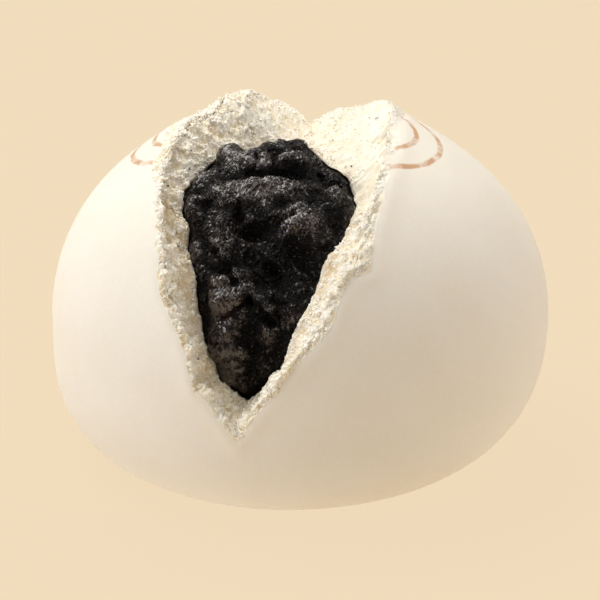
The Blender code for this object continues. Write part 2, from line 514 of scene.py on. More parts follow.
@dataclass(frozen=True)
class PasteCore:
    """Ball of paste inside the bun, lumpy where the tear shows it.

    Attributes:
        body: The bun that holds it.
        middle: Centre of the ball.
        ball_radius: Radius of the ball.
        hidden_share: Share of the radius that is left under the dough.
        shrink_rate: How early on the way down the ball is shrunk.
        smooth_rate: How early on the way down the folds have faded.
        fold_layers: Large folds of the shown part.
        fold_level: Height of the folds that leaves the ball's size unchanged.
    """

    body: BunBody
    middle: tuple[float, float, float] = (-0.0028, -0.0073, 0.0308)
    ball_radius: float = 0.0268
    hidden_share: float = 0.65
    shrink_rate: float = 1.6
    smooth_rate: float = 4.0
    fold_layers: tuple[Layer, ...] = (Layer(0.0101, 0.0022, 11), Layer(0.0051, 0.0018, 12))
    fold_level: float = 0.5

    def radius(self, heading: Array, share: Array) -> Array:
        """Distance from the bun's centre to the paste along each direction.

        It is the far crossing of the direction with the ball, shrunk under the dough,
        plus the folds, which fade out under the dough.

        Args:
            heading: Unit directions.
            share: 0 at the opening and above it, 1 at the far pole.

        Returns:
            One distance for each direction.
        """
        middle = np.array(self.middle) - np.array([0.0, 0.0, self.body.centre_height])
        toward = heading @ middle
        ball = toward + np.sqrt(self.ball_radius**2 - middle @ middle + toward**2)
        shrink = blend(1.0, self.hidden_share, smooth_step(self.shrink_rate * share))
        lumpy = folds(heading * self.ball_radius, self.fold_layers, self.fold_level)
        return ball * shrink + lumpy * (1.0 - smooth_step(self.smooth_rate * share))

    def covered_rows(self, opening: Columns, rows: int) -> tuple[Array, Array]:
        """Directions and shares from the opening down to the pole under the paste.

        Args:
            opening: Polar angle and bearing of the opening's columns.
            rows: Number of steps.

        Returns:
            Directions of rows + 1 rows, and the share of the way down of each row.
        """
        polar, bearing = opening
        even = np.linspace(0.0, 360.0, polar.size, endpoint=False) + bearing[0]
        share = np.linspace(0.0, 1.0, rows + 1)[:, None]
        heading = self.body.direction(blend(polar, 180.0, share), blend(bearing, even, share))
        return heading, share


class Peak(NamedTuple):
    """Raised part of the crest: its tear place, spread in degrees and height."""

    u: float
    v: float
    spread: float
    height: float


@dataclass
class Dough:
    """Steamed dough: smooth skin, rolled lip, torn crumb and the cavity's wall.

    Attributes:
        body: Whole bun.
        core: Paste that the cavity holds.
        edge: Edge of the skin around the tear.
        crest_share: Bearing and share of the skin edge where the crumb's crest lies.
        peaks: Raised parts of the crest.
        wall_slope: Steepness of the crumb wall below the crest.
        wall_depth: Depth at which the wall levels off.
        wall_brow: Softness of the wall's upper corner, in general and on both upper
            sides; 1 is a plain corner.
        upper_sides: Start and width of the upper sides along |u|, then along v.
        lip_raise: Height of the rolled lip of the skin.
        lip_crest: Distance of the lip's top from the skin's edge.
        lip_spread: Width of the lip.
        cavity_gap: Gap between the paste and the cavity's wall.
        clump_layers: Large clumps of the torn crumb, as in the solid.
        calm_side: Tear places u between which the right side grows calm, and the share
            of the clumps left there.
        calm_rise: Tear places v between which it grows calm on the way up.
        calm_top: Start and width along v of the calmer top, and how calm it is.
        ridge_layers: Torn ridges with rounded hollows between them.
        ridge_level: Height of the ridges that leaves the size unchanged.
        pebble_layers: Small rounded clumps.
        pebble_level: Height of the clumps that leaves the size unchanged.
        fine_calm: Share of ridges and small clumps left on the right side.
        right_torn: Share of the crumb's colour and grain on the right side.
        skin_layers: Slow waves of the skin.
        wave_start: How soon below the tear the waves set in.
        wave_fade: Rate and start of their fading on the way down.
        even_rate: How soon below the tear the columns are evenly spread.
        plumb_rate: How soon below the tear the axis is plumb.
        warp: Shift of the places that the small relief is read at.
        clump_start: How soon above the paste the large clumps set in.
        fine_start: How soon above the paste the small relief sets in.
        shoulder_fine: Share of the small relief on the shoulder.
        stain_and_shade_start: Share of the way down the wall where the paste's stain, with
            painted shade, begins.
        stain_and_shade_top: Start and width along v of the weaker stain and painted shade, and
            their share there.
        columns: Columns round the tear.
        cavity_rows: Rows from the pole under the paste up to the opening.
        wall_rows: Rows from the opening to the crest.
        shoulder_rows: Rows from the crest to the skin's edge.
        lip_steps: Shares of the way down of the close rows on the lip.
        skin_rows: Number of rows of the skin, and the first one below the lip.
        skin_power: How much closer the rows are near the tear.
        half_rows: Rows on the lip that keep half of the columns.
    """

    body: BunBody
    core: PasteCore
    edge: TornLoop = TornLoop(
        corners=(
            (-13.5, -66.0), (13.4, -42.0), (17.6, -31.0), (23.2, -28.6),
            (24.4, -19.5), (31.8, 9.7), (37.0, 43.0), (29.0, 66.0),
            (4.0, 92.0), (-21.0, 62.0), (-30.5, 33.0), (-28.4, 3.0),
            (-26.4, -29.0), (-22.4, -43.0), (-22.6, -52.0),
        ),
        back_tip=8,
        frays=(Fray(5.0, 1.1, 0.35, 31), Fray(1.6, 0.5, 0.15, 34)),
    )
    crest_share: tuple[tuple[float, float], ...] = (
        (-104.0, 0.97), (-20.0, 0.93), (30.0, 0.90), (52.0, 0.87),
        (72.0, 0.90), (86.0, 0.95), (91.0, 0.80), (99.0, 0.61),
        (128.0, 0.75), (160.0, 0.90), (215.0, 0.95),
    )
    peaks: tuple[Peak, ...] = (
        Peak(-7.0, 42.0, 11.0, 0.0020),
        Peak(30.0, 40.0, 12.0, 0.0014),
        Peak(5.0, 46.0, 6.0, -0.0012),
    )
    wall_slope: float = 0.95
    wall_depth: float = 0.0074
    wall_brow: tuple[float, float] = (1.5, 1.7)
    upper_sides: tuple[float, float, float, float] = (8.0, 10.0, -12.0, 20.0)
    lip_raise: float = 0.00035
    lip_crest: float = 1.2
    lip_spread: float = 2.4
    cavity_gap: float = 0.0004
    clump_layers: tuple[Layer, ...] = (Layer(0.0069, 0.0009, 3), Layer(0.0037, 0.0007, 4))
    calm_side: tuple[float, float, float] = (5.0, 24.0, 0.4)
    calm_rise: tuple[float, float] = (-28.0, 6.0)
    calm_top: tuple[float, float, float] = (32.0, 9.6, 0.6)
    ridge_layers: tuple[Layer, ...] = (Layer(0.0028, 0.00060, 5), Layer(0.0014, 0.00036, 9))
    ridge_level: float = 0.33
    pebble_layers: tuple[Layer, ...] = (
        Layer(0.0019, 0.00056, 6), Layer(0.0010, 0.00042, 7), Layer(0.00055, 0.00024, 8)
    )
    pebble_level: float = 0.45
    fine_calm: float = 0.42
    right_torn: float = 0.6
    skin_layers: tuple[Layer, ...] = (Layer(0.0275, 0.00045, 21),)
    wave_start: float = 6.0
    wave_fade: tuple[float, float] = (2.0, 0.8)
    even_rate: float = 1.4
    plumb_rate: float = 1.3
    warp: Layer = Layer(0.0017, 0.0006, 41)
    clump_start: float = 3.0
    fine_start: float = 8.0
    shoulder_fine: float = 0.9
    stain_and_shade_start: float = 0.7
    stain_and_shade_top: tuple[float, float, float] = (-10.0, 20.0, 0.2)
    columns: int = 1280
    cavity_rows: int = 9
    wall_rows: int = 42
    shoulder_rows: int = 20
    lip_steps: tuple[float, ...] = (0.0015, 0.004, 0.008, 0.013, 0.019, 0.026, 0.035)
    skin_rows: tuple[int, int] = (36, 3)
    skin_power: float = 1.2
    half_rows: int = 8

    def peak_raise(self, spot: Array) -> Array:
        """Height of the crest above the whole bun's skin, a sum of rounded hills.

        Args:
            spot: Tear places.

        Returns:
            One height for each place.
        """
        total = np.zeros(spot.shape[:-1])
        for peak in self.peaks:
            far = np.hypot(spot[..., 0] - peak.u, spot[..., 1] - peak.v)
            total += peak.height * np.exp(-((far / peak.spread) ** 2))
        return total

    def right_side(self, spot: Array) -> Array:
        """Ease from 0 on the left of the tear to 1 on the evenly torn upper right.

        Args:
            spot: Tear places.

        Returns:
            One share for each place.
        """
        start, end, _ = self.calm_side
        low, high = self.calm_rise
        upper = smooth_step((spot[..., 1] - low) / (high - low))
        right = smooth_step((spot[..., 0] - start) / (end - start)) * upper
        top, width, share = self.calm_top
        return np.maximum(right, share * smooth_step((spot[..., 1] - top) / width))

    def clumps(self, points: Array, spot: Array) -> Array:
        """Depth of the large clumps, calmer on the right."""
        amount = blend(1.0, self.calm_side[2], self.right_side(spot))
        return relief(points, self.clump_layers) * amount

    def lip_height(self, distance: Array | float) -> Array:
        """Height of the rolled lip, a rounded ridge along the skin's edge."""
        return self.lip_raise * np.exp(-(((distance - self.lip_crest) / self.lip_spread) ** 2))

    def cavity(self, opening: Columns) -> Array:
        """Wall of the cavity, from the pole under the paste up to the opening.

        Args:
            opening: Columns of the opening around the paste.

        Returns:
            Grid of places.
        """
        heading, share = self.core.covered_rows(opening, self.cavity_rows)
        radius = self.core.radius(heading, share) + self.cavity_gap
        return (heading * radius[..., None])[::-1]

    def crest(self, edge: Columns) -> Columns:
        """Columns of the crumb's crest, drawn in from the skin's edge."""
        station, drawn_in = np.array(self.crest_share).T
        return edge[0] * np.interp(edge[1], station, drawn_in, period=360.0), edge[1]

    def band(
        self, start: Columns, end: Columns, rows: int
    ) -> tuple[Array, Array, Array, Array]:
        """Rows of the whole bun's skin between two lines, without the first line.

        Args:
            start: Columns of the first line.
            end: Columns of the last line.
            rows: Number of rows.

        Returns:
            Share of the way of each row, directions, tear places and distances.
        """
        share = np.linspace(0.0, 1.0, rows + 1)[1:, None]
        polar, bearing = (blend(near, far, share) for near, far in zip(start, end))
        heading = self.body.direction(polar, bearing)
        return share, heading, tear_place(polar, bearing), self.body.radius(heading)

    def wall(self, opening: Columns, crest: Columns) -> Bands:
        """Torn wall from the paste up to the crest.

        It sinks below the whole bun's skin by depth * tanh((slope * run / depth)
        ** brow), where run is the distance to the crest, less the peaks, and eases onto
        the paste's depth at the opening. Large clumps cut into it.

        Args:
            opening: Columns of the opening around the paste.
            crest: Columns of the crest.

        Returns:
            Grid of places, grid of tear places, and grid of the share of small relief
            that each place takes.
        """
        share, heading, spot, whole = self.band(opening, crest, self.wall_rows)
        run = np.radians(gap_to_loop(spot, tear_place(*crest))) * whole
        side, side_width, top, top_width = self.upper_sides
        upper = smooth_step((np.abs(spot[..., 0]) - side) / side_width)
        upper = upper * smooth_step((spot[..., 1] - top) / top_width)
        steep = (self.wall_slope * run / self.wall_depth) ** blend(*self.wall_brow, upper)
        sink = self.wall_depth * np.tanh(steep) - self.peak_raise(spot)
        at_paste = whole - self.core.radius(heading, np.zeros_like(share)) - self.cavity_gap
        sink = blend(sink, at_paste, (1.0 - share) ** 3)
        rough = self.clumps(whole[..., None] * heading, spot)
        depth = sink + rough * smooth_step(self.clump_start * share)
        less = 1.0 - (1.0 - self.shoulder_fine) * share**4
        amount = smooth_step(self.fine_start * share) * less + np.zeros_like(whole)
        return heading * (whole - depth)[..., None], spot, amount

    def shoulder(self, crest: Columns, edge: Columns) -> Bands:
        """Torn shoulder, eased from the peaks of the crest down to the lip of the skin.

        Args:
            crest: Columns of the crest.
            edge: Columns of the skin's edge.

        Returns:
            The same three grids as the wall's.
        """
        share, heading, spot, whole = self.band(crest, edge, self.shoulder_rows)
        rough = self.clumps(whole[..., None] * heading, spot) * (1.0 - share)
        height = blend(self.peak_raise(spot) - rough, self.lip_height(0.0), share**2)
        amount = (1.0 - share**3) * self.shoulder_fine + np.zeros_like(whole)
        return heading * (whole + height)[..., None], spot, amount

    def roughen(self, grid: Array, spot: Array, amount: Array) -> tuple[Array, Array]:
        """Push the crumb out along its normals into torn ridges and small clumps.

        Args:
            grid: Places of the torn crumb.
            spot: Their tear places.
            amount: Share of the relief that each place takes.

        Returns:
            The roughened places, and how high each stands, from -1 in a pit to 1.
        """
        places = warped(grid, self.warp)
        height = pebbled(places, self.pebble_layers, self.pebble_level)
        height = height - folds(places, self.ridge_layers, self.ridge_level)
        full = 0.5 * sum(layer.height for layer in self.ridge_layers + self.pebble_layers)
        calm = blend(1.0, self.fine_calm, self.right_side(spot))
        pushed = grid + surface_normals(grid) * (height * amount * calm)[..., None]
        return pushed, np.clip(height / full, -1.0, 1.0)

    def skin(self, edge: Columns, step: Array) -> Array:
        """Smooth skin from the lip of the tear down to the pole of the underside.

        On the way down the columns spread evenly, the axis grows plumb, and slow waves
        set in and fade out again.

        Args:
            edge: Columns of the skin's edge.
            step: Share of the way down of each row, in one column.

        Returns:
            Grid of places.
        """
        even = np.linspace(0.0, 360.0, self.columns, endpoint=False) + edge[1][0]
        polar = blend(edge[0], 180.0, step)
        bearing = blend(edge[1], even, smooth_step(self.even_rate * step))
        lean = 1.0 - smooth_step(self.plumb_rate * step)
        heading = self.body.direction(polar, bearing, lean)
        whole = self.body.radius(heading)
        lip = self.lip_height(gap_to_loop(tear_place(polar, bearing), tear_place(*edge)))
        wave = relief(whole[..., None] * heading, self.skin_layers)
        rate, late = self.wave_fade
        wave = wave * smooth_step(self.wave_start * step)
        wave = wave * (1.0 - smooth_step(rate * step - late))
        return heading * (whole + lip + wave)[..., None]

    def torn_share(self, spot: Array) -> Array:
        """Share of the crumb's colour: less on the right, where it fades to the skin.

        Args:
            spot: Tear places of wall and shoulder.

        Returns:
            One share for each place.
        """
        right = self.right_side(spot)
        torn = blend(1.0, self.right_torn, right)
        out = np.linspace(0.0, 1.0, self.shoulder_rows)[:, None]
        torn[-self.shoulder_rows :] *= 1.0 - smooth_step(out) * right[-self.shoulder_rows :]
        return torn

    def stain_and_shade_share(self, spot: Array) -> Array:
        """Share of the paste's stain and painted shade, which grow down the wall and are weak
        at the top.

        Args:
            spot: Tear places of wall and shoulder.

        Returns:
            One share for each place.
        """
        down = np.linspace(1.0, 0.0, len(spot))[:, None]
        top, width, left = self.stain_and_shade_top
        low = blend(1.0, left, smooth_step((spot[..., 1] - top) / width))
        return smooth_step((down - self.stain_and_shade_start) / (1.0 - self.stain_and_shade_start)) * low

    def build(self, material: Material) -> tuple[Object, "TornFace"]:
        """Model the dough as one closed surface from pole to pole.

        Args:
            material: Finish of skin and crumb.

        Returns:
            The piece, and the torn face that loose crumbs lie on.
        """
        edge = self.edge.columns(self.columns)
        opening = OPENING.columns(self.columns)
        crest = self.crest(edge)
        parts = zip(self.wall(opening, crest), self.shoulder(crest, edge))
        crumb, spot, amount = (np.concatenate(pair) for pair in parts)
        rows, first = self.skin_rows
        even = (np.arange(first, rows + 1) / rows) ** self.skin_power
        inner = self.cavity(opening)
        skin = self.skin(edge, np.concatenate([self.lip_steps, even])[:, None])
        fine, height = self.roughen(crumb, spot, amount)
        grid = self.body.settle(np.concatenate([inner, fine, skin]))
        marks = {
            key: np.concatenate([
                np.full(inner.shape[:2], within), values, np.zeros(skin.shape[:2])
            ])
            for key, within, values in (
                ("crumb", 1.0, self.torn_share(spot)),
                ("height", 0.0, height),
                ("stain_and_shade_mask", 1.0, self.stain_and_shade_share(spot)),
            )
        }
        full, half, quarter, eighth = (self.columns // part for part in (1, 2, 4, 8))
        counts = [1] + [eighth] * (len(inner) - 4) + [quarter, half, full]
        counts += [full] * len(crumb) + [half] * self.half_rows
        counts += [quarter] * (len(skin) - self.half_rows - 1) + [1]
        piece = ring_piece("dough_crumb_and_skin", grid, counts, material, marks)
        settled = self.body.settle(fine)
        return piece, TornFace(settled, surface_normals(settled), spot, amount)


@dataclass(frozen=True)
class TornFace:
    """Torn crumb that loose crumbs lie on.

    Attributes:
        grid: Places, rows from the paste out to the skin.
        normals: Unit normals.
        spot: Tear places.
        amount: Share of small relief, 0 at the paste and at the skin's edge.
    """

    grid: Array
    normals: Array
    spot: Array
    amount: Array

    def cell_areas(self) -> Array:
        """Area of the grid around each place.

        Returns:
            One area for each place.
        """
        down = np.gradient(self.grid, axis=0)
        around = (np.roll(self.grid, -1, axis=1) - np.roll(self.grid, 1, axis=1)) / 2.0
        return np.linalg.norm(np.cross(down, around), axis=-1)

    def draw(self, count: int, weight: Array, rng: np.random.Generator) -> Array:
        """Draw places on the face with a chance that follows area times weight."""
        chance = (self.cell_areas() * weight).ravel()
        return rng.choice(chance.size, size=count, p=chance / chance.sum())


@dataclass(frozen=True)
class LooseBits:
    """Scattered bits of one kind, each a jittered, flattened little ball.

    Attributes:
        name: Name of the piece.
        count: Number of bits.
        radius: Smallest and largest radius.
        rings: Rows of a bit's grid, poles included.
        segments: Columns of a bit's grid.
        jitter: Share of the radius by which a vertex strays.
        lift: How far a bit's centre stands off the face, in radii.
        seed: Seed of the draw.
        size_power: How much small bits outnumber large ones.
        squash: Least and greatest stretch along each axis.
        tone: Least and greatest height mark, which sets the colour.
    """

    name: str
    count: int
    radius: tuple[float, float]
    rings: int
    segments: int
    jitter: float
    lift: tuple[float, float]
    seed: int
    size_power: float = 2.2
    squash: tuple[float, float] = (0.7, 1.25)
    tone: tuple[float, float] = (0.4, 1.0)

    def ball(self) -> tuple[Array, list[list[int]]]:
        """Unit ball on a grid of rings and segments, with a pole at each end.

        Returns:
            Its vertices, and the vertex numbers of each face.
        """
        polar = np.linspace(0.0, np.pi, self.rings)[1:-1, None]
        bearing = np.linspace(0.0, 2.0 * np.pi, self.segments, endpoint=False)
        across, up = np.sin(polar), np.cos(polar) * np.ones_like(bearing)
        places = np.stack([across * np.cos(bearing), across * np.sin(bearing), up], axis=-1)
        places = places.reshape(-1, 3)
        places = np.concatenate([[[0.0, 0.0, 1.0]], places, [[0.0, 0.0, -1.0]]])
        return places, join_rings([1] + [self.segments] * (self.rings - 2) + [1])

    def scatter(self, places: Array, normals: Array, material: Material) -> Object:
        """Lay one bit at each place, turned and squashed by a seeded draw.

        Args:
            places: Where the bits touch the face.
            normals: Way out of the face at each place.
            material: Finish of the bits.

        Returns:
            One piece that holds all bits.
        """
        rng = np.random.default_rng(self.seed)
        ball, faces = self.ball()
        count = len(places)
        size = blend(*self.radius, rng.random(count) ** self.size_power)
        shape = rng.uniform(*self.squash, (count, 1, 3))
        stray = 1.0 + self.jitter * rng.uniform(-1.0, 1.0, (count, len(ball), 1))
        bits = ball[None] * stray * shape * size[:, None, None]
        turn = rng.normal(size=(count, 4))
        w, x, y, z = (turn / np.linalg.norm(turn, axis=1, keepdims=True)).T
        rotation = np.array([
            [1 - 2 * (y * y + z * z), 2 * (x * y - z * w), 2 * (x * z + y * w)],
            [2 * (x * y + z * w), 1 - 2 * (x * x + z * z), 2 * (y * z - x * w)],
            [2 * (x * z - y * w), 2 * (y * z + x * w), 1 - 2 * (x * x + y * y)],
        ])
        bits = np.einsum("ijn,nvj->nvi", rotation, bits)
        lift = rng.uniform(*self.lift, count) * size
        bits = bits + (places + normals * lift[:, None])[:, None]
        starts = range(0, count * len(ball), len(ball))
        all_faces = [[number + start for number in face] for start in starts for face in faces]
        tone = np.repeat(rng.uniform(*self.tone, count), len(ball))
        marks = {"crumb": np.ones(tone.size), "height": tone}
        return make_piece(self.name, bits.reshape(-1, 3), all_faces, material, marks)


class Crease(NamedTuple):
    """Crease in the paste between two tear places, with its half width in degrees and
    its depth. A negative depth makes a ridge or, where both ends meet, a knob."""

    start: tuple[float, float]
    end: tuple[float, float]
    width: float
    depth: float


@dataclass
class BeanPaste:
    """Core of sweet bean paste that shows in the tear.

    Attributes:
        core: Ball with its large folds.
        bulge: How far the shown part stands out of the ball.
        bulge_power: How late the bulge and the creases fade towards the opening.
        creases: Deep creases and standing knobs.
        knob_layers: Plump rounded lumps.
        knob_level: Height of the lumps that leaves the size unchanged.
        fold_layers: Smaller folds with sharp creases.
        fold_level: Height of the folds that leaves the size unchanged.
        grain_layers: Small grains of crushed bean.
        grain_level: Height of the grains that leaves the size unchanged.
        warp: Shift of the places that the relief is read at.
        rim_calm: Share of the relief that is lost at the opening.
        rim_power: How late it fades towards the opening.
        full_height: Height that counts as fully raised for the finish.
        columns: Columns round the tear axis.
        shown_rows: Rows from the middle of the tear to the opening.
        row_power: How much closer the rows are near the opening.
        even_rate: How soon round the middle the columns follow the opening.
        thin_rows: Rows round the middle that keep an eighth, then a quarter, then half
            of the columns.
        hidden_rows: Rows from the opening to the far pole.
    """

    core: PasteCore
    bulge: float = 0.0011
    bulge_power: int = 14
    creases: tuple[Crease, ...] = (
        Crease((-5.5, 5.5), (6.5, 3.6), 1.9, 0.0021),
        Crease((-20.5, -3.6), (-9.0, -9.6), 1.1, 0.0009),
        Crease((-6.0, -15.5), (9.5, -12.2), 1.2, 0.0012),
        Crease((18.0, 1.5), (21.0, -6.0), 1.2, 0.0008),
        Crease((14.5, -9.0), (18.5, -16.0), 1.1, 0.0008),
        Crease((5.0, -20.0), (14.0, -31.0), 1.6, 0.0012),
        Crease((-16.0, -19.5), (-11.5, -28.5), 1.2, 0.0012),
        Crease((-6.4, -22.5), (-1.0, -26.0), 1.3, 0.0014),
        Crease((-1.0, -26.0), (3.5, -33.0), 1.3, 0.0013),
        Crease((-15.5, -37.0), (-8.0, -34.0), 1.2, 0.0011),
        Crease((-8.0, -34.0), (-2.0, -40.5), 1.2, 0.0013),
        Crease((-14.0, -42.5), (-9.0, -47.5), 1.2, 0.0009),
        Crease((-5.4, 14.0), (-5.0, 8.0), 1.1, 0.0015),
        Crease((0.6, 14.5), (0.2, 8.0), 1.1, 0.0015),
        Crease((-12.0, 10.0), (-8.0, 12.5), 3.6, -0.0010),
        Crease((-2.4, 11.5), (-2.4, 11.5), 2.2, -0.0010),
        Crease((4.5, 12.5), (8.5, 11.0), 3.4, -0.0009),
    )
    knob_layers: tuple[Layer, ...] = (Layer(0.0058, 0.0003, 29), Layer(0.0036, 0.0004, 30))
    knob_level: float = 0.55
    fold_layers: tuple[Layer, ...] = (Layer(0.0062, 0.0024, 27), Layer(0.0029, 0.0011, 28))
    fold_level: float = 0.4
    grain_layers: tuple[Layer, ...] = (
        Layer(0.0010, 0.00014, 15), Layer(0.0006, 0.00016, 16), Layer(0.00038, 0.00012, 19)
    )
    grain_level: float = 0.5
    warp: Layer = Layer(0.0024, 0.0006, 61)
    rim_calm: float = 0.8
    rim_power: int = 16
    full_height: float = 0.0011
    columns: int = 800
    shown_rows: int = 150
    row_power: float = 0.85
    even_rate: float = 2.0
    thin_rows: tuple[int, int, int] = (15, 16, 32)
    hidden_rows: int = 8

    def crease_depth(self, spot: Array) -> Array:
        """Depth of the named creases: each falls off as a bell across its line.

        Args:
            spot: Tear places.

        Returns:
            One depth for each place.
        """
        total = np.zeros(spot.shape[:-1])
        for crease in self.creases:
            start, end = np.array(crease.start), np.array(crease.end)
            run, offset = end - start, spot - start
            along = np.clip(offset @ run / max(run @ run, 1e-9), 0.0, 1.0)
            far = np.linalg.norm(offset - along[..., None] * run, axis=-1) / crease.width
            total += crease.depth * np.exp(-(far**2))
        return total

    def build(self, material: Material) -> Object:
        """Model the paste as one closed surface from the tear's middle to its far pole.

        The distance from the bun's centre is the core's, plus a bulge that falls off
        with a high power of the share of the way to the opening, less the creases.
        Small folds and grains then push the surface along its normals.

        Args:
            material: Finish of the paste.

        Returns:
            The piece, with how high each place stands in the attribute "height".
        """
        opening = OPENING.columns(self.columns)
        share = np.linspace(0.0, 1.0, self.shown_rows + 1)[:-1, None] ** self.row_power
        even = np.linspace(0.0, 360.0, self.columns, endpoint=False) + opening[1][0]
        bearing = blend(even, opening[1], smooth_step(self.even_rate * share))
        polar = opening[0] * share
        heading = self.core.body.direction(polar, bearing)
        spot = tear_place(polar, bearing)
        rim = 1.0 - share**self.bulge_power
        creased = self.crease_depth(spot) * rim
        radius = self.core.radius(heading, np.zeros_like(share)) + self.bulge * rim
        shown = heading * (radius - creased)[..., None]
        places = warped(shown, self.warp)
        fine = folds(places, self.fold_layers, self.fold_level)
        fine = fine + pebbled(places, self.knob_layers, self.knob_level)
        raised = np.clip((fine - creased) / self.full_height, -1.0, 1.0)
        fine = fine + pebbled(places, self.grain_layers, self.grain_level)
        fine = fine * (1.0 - self.rim_calm * share**self.rim_power)
        normals = surface_normals(shown)
        normals[0] = heading[0, 0]
        fine[0], raised[0] = fine[1].mean(), raised[1].mean()
        shown = shown + normals * fine[..., None]
        heading, share = self.core.covered_rows(opening, self.hidden_rows)
        hidden = heading * self.core.radius(heading, share)[..., None]
        grid = self.core.body.settle(np.concatenate([shown, hidden]))
        full, half, quarter, eighth = (self.columns // part for part in (1, 2, 4, 8))
        counts = [1]
        for rows, kept in zip(self.thin_rows, (eighth, quarter, half)):
            counts += [kept] * rows
        counts += [full] * (self.shown_rows - len(counts) + 1)
        counts += [half, quarter] + [eighth] * (self.hidden_rows - 3) + [1]
        height = np.concatenate([raised, np.full(hidden.shape[:2], -1.0)])
        return ring_piece("bean_paste_core", grid, counts, material, {"height": height})


# --- finishes


class Nodes:
    """Adds nodes to a shader tree and joins them."""

    def __init__(self, tree: NodeTree) -> None:
        """Keep the tree that the nodes go into."""
        self.tree = tree

    def put(self, socket: NodeSocket, value: object) -> None:
        """Join a socket to another one, or set its plain value.

        Args:
            socket: Input to fill.
            value: Output socket or constant.
        """
        if isinstance(value, NodeSocket):
            self.tree.links.new(value, socket)
        else:
            socket.default_value = value

    def fill(self, node: Node, inputs: dict) -> None:
        """Put a value or a socket into each of the named or numbered inputs."""
        for key, value in inputs.items():
            self.put(node.inputs[key], value)

    def add(self, kind: str, inputs: dict | None = None, **settings: object) -> Node:
        """Add a node.

        Args:
            kind: Node type without the leading "ShaderNode".
            inputs: Values or sockets by input name or number.
            **settings: Properties of the node.

        Returns:
            The new node.
        """
        node = self.tree.nodes.new("ShaderNode" + kind)
        for key, value in settings.items():
            setattr(node, key, value)
        self.fill(node, inputs or {})
        return node

    def math(self, operation: str, *values: object) -> NodeSocket:
        """Combine numbers.

        Args:
            operation: Name of the Math node's operation.
            *values: Numbers or sockets.

        Returns:
            The result's socket.
        """
        node = self.add("Math", operation=operation)
        for socket, value in zip(node.inputs, values):
            self.put(socket, value)
        return node.outputs[0]

    def ranged(
        self, value: object, low: float, high: float,
        to_low: object = 0.0, to_high: object = 1.0, soft: bool = False,
    ) -> NodeSocket:
        """Map a value from one range to another and clamp it.

        Args:
            value: Number or socket.
            low: Start of its range.
            high: End of its range.
            to_low: What the start becomes.
            to_high: What the end becomes.
            soft: Whether both ends are eased.

        Returns:
            The result's socket.
        """
        inputs = {0: value, 1: low, 2: high, 3: to_low, 4: to_high}
        kind = "SMOOTHSTEP" if soft else "LINEAR"
        return self.add("MapRange", inputs, interpolation_type=kind).outputs[0]

    def mixed(self, share: object, first: object, second: object) -> NodeSocket:
        """Mix two colours.

        Args:
            share: Share of the second colour.
            first: First colour, or its socket.
            second: Second colour, or its socket.

        Returns:
            The mixed colour's socket.
        """
        node = self.add("Mix", data_type="RGBA")
        self.put(node.inputs[0], share)
        for socket, value in ((node.inputs[6], first), (node.inputs[7], second)):
            self.put(socket, (*value, 1.0) if isinstance(value, tuple) else value)
        return node.outputs[2]

    def place(self) -> NodeSocket:
        """Place on the piece, in metres."""
        return self.add("TexCoord").outputs["Object"]

    def mark(self, name: str) -> NodeSocket:
        """Value of a named attribute."""
        return self.add("Attribute", attribute_name=name).outputs["Fac"]

    def group(self, tree: NodeTree, inputs: dict) -> NodeSocket:
        """Place a node group.

        Args:
            tree: The group.
            inputs: Values or sockets by input name.

        Returns:
            Its first output.
        """
        node = self.add("Group", node_tree=tree)
        self.fill(node, inputs)
        return node.outputs[0]


def new_group(name: str, inputs: dict[str, object], output: str) -> tuple[Nodes, Node]:
    """Start a node group with named inputs and one number as its output.

    Args:
        name: Name of the group.
        inputs: Default of each input; a tuple makes a vector input.
        output: Name of the output.

    Returns:
        The group's nodes and its input node. The output node is made here too.
    """
    tree = bpy.data.node_groups.new(name, "ShaderNodeTree")
    for key, value in inputs.items():
        kind = "NodeSocketVector" if isinstance(value, tuple) else "NodeSocketFloat"
        socket = tree.interface.new_socket(key, in_out="INPUT", socket_type=kind)
        socket.default_value = value
    tree.interface.new_socket(output, in_out="OUTPUT", socket_type="NodeSocketFloat")
    tree.nodes.new("NodeGroupOutput")
    return Nodes(tree), tree.nodes.new("NodeGroupInput")


def end_group(nodes: Nodes, value: NodeSocket) -> NodeTree:
    """Join a value to the group's output.

    Args:
        nodes: The group's nodes.
        value: Socket that the group gives out.

    Returns:
        The finished group.
    """
    out = next(node for node in nodes.tree.nodes if node.bl_idname == "NodeGroupOutput")
    nodes.tree.links.new(value, out.inputs[0])
    return nodes.tree


def mottle_group() -> NodeTree:
    """Cloudy variation: noise of the given size, mapped from Low to High.

    Returns:
        The group.
    """
    values = {"Place": (0.0, 0.0, 0.0), "Size": 0.01, "Low": 0.0, "High": 1.0}
    nodes, given = new_group("mottle", values, "Value")
    get = given.outputs
    scale = nodes.math("DIVIDE", 1.0, get["Size"])
    noise = nodes.add("TexNoise", {"Vector": get["Place"], "Scale": scale, "Detail": 3.0})
    value = nodes.ranged(noise.outputs[0], 0.33, 0.67, get["Low"], get["High"])
    return end_group(nodes, value)


def speckle_group() -> NodeTree:
    """Small soft dots: one at a jittered place in some of the cells.

    Returns:
        The group.
    """
    values = {"Place": (0.0, 0.0, 0.0), "Spacing": 0.004, "Dot": 0.0003, "Share": 0.3}
    nodes, given = new_group("speckle", values, "Mask")
    get = given.outputs
    scale = nodes.math("DIVIDE", 1.0, get["Spacing"])
    cells = nodes.add("TexVoronoi", {"Vector": get["Place"], "Scale": scale})
    draw = nodes.add("SeparateColor", {0: cells.outputs["Color"]}).outputs[0]
    distance = nodes.math("MULTIPLY", cells.outputs["Distance"], get["Spacing"])
    dot = nodes.math("SUBTRACT", 1.0, nodes.math("DIVIDE", distance, get["Dot"]))
    soft = nodes.ranged(dot, 0.0, 0.6, soft=True)
    picked = nodes.math("LESS_THAN", draw, get["Share"])
    return end_group(nodes, nodes.math("MULTIPLY", soft, picked))


